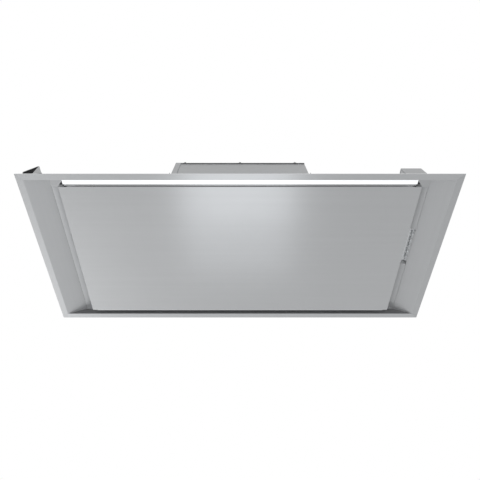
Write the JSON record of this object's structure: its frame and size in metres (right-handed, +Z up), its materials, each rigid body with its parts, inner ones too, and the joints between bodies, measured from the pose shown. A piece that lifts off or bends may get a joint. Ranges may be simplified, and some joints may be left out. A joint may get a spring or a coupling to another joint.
{
  "type": "range hood",
  "caption": "Recessed ceiling range hood: flush drop-down door in a mitred stainless frame, light bar, grease filters, centrifugal blower in a roof box and a flat duct outlet with damper.",
  "frame": {"origin": "centre of the rim's underside, which is the lowest plane of the closed hood", "axes": "+X to the right along the long side, +Y away from the light bar, towards the duct outlet, +Z up into the ceiling"},
  "size_m": [1.2, 0.5, 0.1723],
  "materials": {
    "stainless": "fine brushed stainless sheet",
    "galvanised": "galvanised sheet",
    "aluminium": "satin",
    "steel": "zinc plated",
    "opal_plastic": "opal diffuser",
    "black_plastic": "fine texture",
    "grey_plastic": "satin",
    "circuit_board": "solder mask"
  },
  "bodies": {
    "housing": {"front_fascia": "stainless", "rear_fascia": "stainless", "left_fascia": "stainless", "right_fascia": "stainless", "corner_gusset_left": "stainless", "corner_gusset_right": "stainless", "plenum_cover_left": "stainless", "plenum_cover_right": "stainless", "filter_frame": "galvanised", "motor_box_right": "galvanised", "motor_box_left": "galvanised", "motor_box_front": "galvanised", "motor_box_rear": "galvanised", "motor_box_cover": "galvanised", "outlet_spigot": "galvanised", "scroll_wall": "galvanised", "scroll_bottom_plate": "galvanised", "blower_top_plate": "galvanised", "inlet_ring": "galvanised", "motor_stator": "black_plastic", "filter_frame_left": "aluminium", "filter_mesh_left": "aluminium", "filter_frame_right": "aluminium", "filter_mesh_right": "aluminium", "light_channel": "aluminium", "light_diffuser": "opal_plastic", "light_board": "circuit_board", "control_housing": "grey_plastic", "control_board": "circuit_board", "terminal_box": "galvanised", "terminal_cover": "galvanised", "cable_gland": "black_plastic", "motor_controller": "aluminium", "light_driver": "black_plastic", "bracket_near_left": "galvanised", "bracket_near_right": "galvanised", "bracket_far_left": "galvanised", "bracket_far_right": "galvanised", "hinge_arm_left": "steel", "hinge_arm_right": "steel", "door_catch_left": "black_plastic", "door_catch_right": "black_plastic"},
    "door": {"door_skin": "stainless", "door_stiffener_left": "galvanised", "door_stiffener_right": "galvanised", "hinge_clevis_left": "steel", "hinge_pin_left": "steel", "hinge_clevis_right": "steel", "hinge_pin_right": "steel"},
    "blower_wheel": {"impeller": "galvanised", "rotor": "steel"},
    "damper_upper": {"damper_flap_upper": "aluminium"},
    "damper_lower": {"damper_flap_lower": "aluminium"},
    "button_body_1": {"button_1": "grey_plastic"},
    "button_body_2": {"button_2": "grey_plastic"},
    "button_body_3": {"button_3": "grey_plastic"},
    "button_body_4": {"button_4": "grey_plastic"},
    "button_body_5": {"button_5": "grey_plastic"},
    "latch_body_left": {"filter_latch_left": "black_plastic"},
    "latch_body_right": {"filter_latch_right": "black_plastic"}
  },
  "joints": [
    {"name": "door_hinge", "type": "hinge", "parent": "housing", "child": "door", "pos_m": [0, -0.203, 0.008], "axis": [-1, 0, 0], "range_deg": [0, 88]},
    {"name": "blower_spin", "type": "hinge", "parent": "housing", "child": "blower_wheel", "pos_m": [-0.046, -0.068, 0.1], "axis": [0, 0, 1], "continuous": true},
    {"name": "damper_upper_hinge", "type": "hinge", "parent": "housing", "child": "damper_upper", "pos_m": [0, 0.1758, 0.1425], "axis": [1, 0, 0], "range_deg": [0, 75]},
    {"name": "damper_lower_hinge", "type": "hinge", "parent": "housing", "child": "damper_lower", "pos_m": [0, 0.1758, 0.1009], "axis": [1, 0, 0], "range_deg": [0, 75]},
    {"name": "button_1_press", "type": "slide", "parent": "housing", "child": "button_body_1", "axis": [1, 0, 0], "range_m": [0, 0.001], "stiffness_N_per_m": 500},
    {"name": "button_2_press", "type": "slide", "parent": "housing", "child": "button_body_2", "axis": [1, 0, 0], "range_m": [0, 0.001], "stiffness_N_per_m": 500},
    {"name": "button_3_press", "type": "slide", "parent": "housing", "child": "button_body_3", "axis": [1, 0, 0], "range_m": [0, 0.001], "stiffness_N_per_m": 500},
    {"name": "button_4_press", "type": "slide", "parent": "housing", "child": "button_body_4", "axis": [1, 0, 0], "range_m": [0, 0.001], "stiffness_N_per_m": 500},
    {"name": "button_5_press", "type": "slide", "parent": "housing", "child": "button_body_5", "axis": [1, 0, 0], "range_m": [0, 0.001], "stiffness_N_per_m": 500},
    {"name": "latch_left_slide", "type": "slide", "parent": "housing", "child": "latch_body_left", "axis": [0, 1, 0], "range_m": [0, 0.006], "stiffness_N_per_m": 200},
    {"name": "latch_right_slide", "type": "slide", "parent": "housing", "child": "latch_body_right", "axis": [0, 1, 0], "range_m": [0, 0.006], "stiffness_N_per_m": 200}
  ]
}
